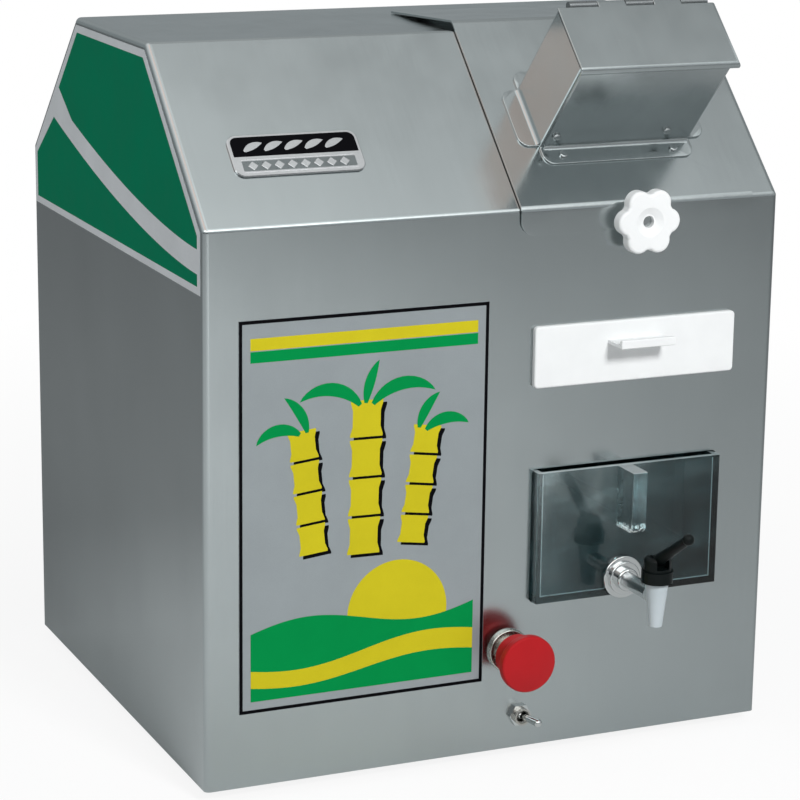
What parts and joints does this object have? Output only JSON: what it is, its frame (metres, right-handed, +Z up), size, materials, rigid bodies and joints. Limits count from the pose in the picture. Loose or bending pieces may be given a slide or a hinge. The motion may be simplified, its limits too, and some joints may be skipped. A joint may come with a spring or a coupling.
{
  "type": "sugarcane juicer",
  "caption": "Bench-top sugarcane juicer: brushed steel cabinet, sloped feed chute with hinged lid, strainer drawer, clear juice tank with tap, and a geared roller mill inside.",
  "frame": {"origin": "on the floor under the middle of the whole object's box", "axes": "+X to the right seen from the front, +Y to the rear, +Z up"},
  "size_m": [0.4153, 0.5008, 0.515],
  "materials": {
    "steel": "brushed",
    "bright_steel": "satin",
    "chrome": "polished",
    "switch_metal": "satin",
    "mill_steel": "machined",
    "gear_steel": "machined, oiled",
    "bronze": "machined",
    "drive_paint": "semi-gloss paint",
    "white_plastic": "smooth moulded",
    "black_plastic": "moulded",
    "tap_seal": "soft",
    "red_plastic": "moulded",
    "clear_plastic": "clear sheet plastic",
    "rubber": "matt",
    "front_print": "printed film",
    "side_print": "printed film",
    "badge": "embossed plate"
  },
  "bodies": {
    "cabinet": {"cabinet_shell": "steel", "rear_panel": "steel", "base_plate": "steel", "rear_panel_screws": "bright_steel", "knob_nut": "bright_steel", "tank_shelf": "bright_steel", "bagasse_chute": "bright_steel", "tie_rods": "bright_steel", "turner_bar": "bright_steel", "toggle_nut": "chrome", "estop_barrel": "switch_metal", "toggle_body": "switch_metal", "frame_plates": "mill_steel", "gear_plate": "mill_steel", "roller_bushes": "bronze", "gearbox_case": "drive_paint", "motor_housing": "drive_paint", "motor_stand": "drive_paint", "drawer_runners": "white_plastic", "cable_gland": "black_plastic", "estop_contact_block": "black_plastic", "rubber_feet": "rubber", "cover_gasket": "rubber", "front_label": "front_print", "side_label": "side_print", "badge_plate": "badge"},
    "feed_cover": {"feed_cover": "steel", "feed_chute": "steel", "chute_screws": "bright_steel", "feed_guide": "steel", "hinge_leaf": "bright_steel", "hinge_pin": "bright_steel"},
    "star_knob": {"star_knob": "white_plastic", "knob_stud": "bright_steel"},
    "chute_lid": {"chute_lid": "steel"},
    "drawer": {"drawer_front": "white_plastic", "drawer_tray": "white_plastic", "strainer_screen": "bright_steel", "drawer_handle": "white_plastic"},
    "tank": {"juice_tank": "clear_plastic", "tank_handle": "clear_plastic", "tap_collar": "chrome", "tap_body": "white_plastic", "tap_bonnet": "black_plastic", "tap_back_nut": "black_plastic"},
    "tap_lever": {"tap_lever": "black_plastic"},
    "tap_stem": {"tap_stem": "tap_seal"},
    "estop_plunger": {"estop_stem": "bright_steel"},
    "estop_head": {"estop_cap": "red_plastic"},
    "toggle_lever": {"toggle_lever": "chrome"},
    "master_roller": {"master_roller": "mill_steel", "master_gear": "gear_steel", "bull_gear": "gear_steel"},
    "feed_roller": {"feed_roller": "mill_steel", "feed_gear": "gear_steel"},
    "discharge_roller": {"discharge_roller": "mill_steel", "discharge_gear": "gear_steel"},
    "pinion_shaft": {"pinion_shaft": "mill_steel"},
    "motor_rotor": {"motor_shaft": "mill_steel", "motor_fan": "black_plastic"}
  },
  "joints": [
    {"name": "cover_slide", "type": "slide", "parent": "cabinet", "child": "feed_cover", "axis": [0, -1, 0], "range_m": [0, 0.19]},
    {"name": "knob_turn", "type": "hinge", "parent": "feed_cover", "child": "star_knob", "pos_m": [0.0995, -0.14963, 0.3716], "axis": [0, -1, 0], "continuous": true},
    {"name": "lid_hinge", "type": "hinge", "parent": "feed_cover", "child": "chute_lid", "pos_m": [0.0975, -0.1349, 0.512], "axis": [-1, 0, 0], "range_deg": [0, 105]},
    {"name": "drawer_slide", "type": "slide", "parent": "cabinet", "child": "drawer", "axis": [0, -1, 0], "range_m": [0, 0.18]},
    {"name": "tank_slide", "type": "slide", "parent": "cabinet", "child": "tank", "axis": [0, -1, 0], "range_m": [0, 0.22]},
    {"name": "lever_press", "type": "hinge", "parent": "tank", "child": "tap_lever", "pos_m": [0.0923, -0.20663, 0.1501], "axis": [1, 0, 0], "range_deg": [0, 30], "stiffness_Nm_per_rad": 0.02, "springref_deg": -17.19},
    {"name": "stem_lift", "type": "slide", "parent": "tank", "child": "tap_stem", "axis": [0, 0, 1], "range_m": [0, 0.0014]},
    {"name": "estop_push", "type": "slide", "parent": "cabinet", "child": "estop_plunger", "axis": [0, 1, 0], "range_m": [0, 0.006], "stiffness_N_per_m": 800, "springref_m": -0.003},
    {"name": "estop_twist", "type": "hinge", "parent": "estop_plunger", "child": "estop_head", "pos_m": [0.011, -0.14963, 0.079], "axis": [0, -1, 0], "range_deg": [0, 45], "stiffness_Nm_per_rad": 0.05, "springref_deg": -5.73},
    {"name": "toggle_flip", "type": "hinge", "parent": "cabinet", "child": "toggle_lever", "pos_m": [0.02, -0.15163, 0.0315], "axis": [0, 0, -1], "range_deg": [0, 28]},
    {"name": "motor_spin", "type": "hinge", "parent": "cabinet", "child": "motor_rotor", "pos_m": [-0.1055, 0.01394, 0.294], "axis": [0, -1, 0], "continuous": true},
    {"name": "pinion_spin", "type": "hinge", "parent": "cabinet", "child": "pinion_shaft", "pos_m": [-0.0495, -0.03406, 0.33599], "axis": [1, 0, 0], "continuous": true},
    {"name": "master_spin", "type": "hinge", "parent": "cabinet", "child": "master_roller", "pos_m": [0.0995, -0.03406, 0.40725], "axis": [1, 0, 0], "continuous": true},
    {"name": "feed_spin", "type": "hinge", "parent": "cabinet", "child": "feed_roller", "pos_m": [0.0995, -0.07439, 0.36839], "axis": [1, 0, 0], "continuous": true},
    {"name": "discharge_spin", "type": "hinge", "parent": "cabinet", "child": "discharge_roller", "pos_m": [0.0995, -0.00606, 0.35875], "axis": [1, 0, 0], "continuous": true}
  ],
  "couplings": [
    {"joint": "stem_lift", "follows": "lever_press", "m_per_rad": 0.0024},
    {"joint": "pinion_spin", "follows": "motor_spin", "ratio": 0.066667},
    {"joint": "master_spin", "follows": "motor_spin", "ratio": -0.02381},
    {"joint": "feed_spin", "follows": "motor_spin", "ratio": 0.02381},
    {"joint": "discharge_spin", "follows": "motor_spin", "ratio": 0.02381}
  ]
}
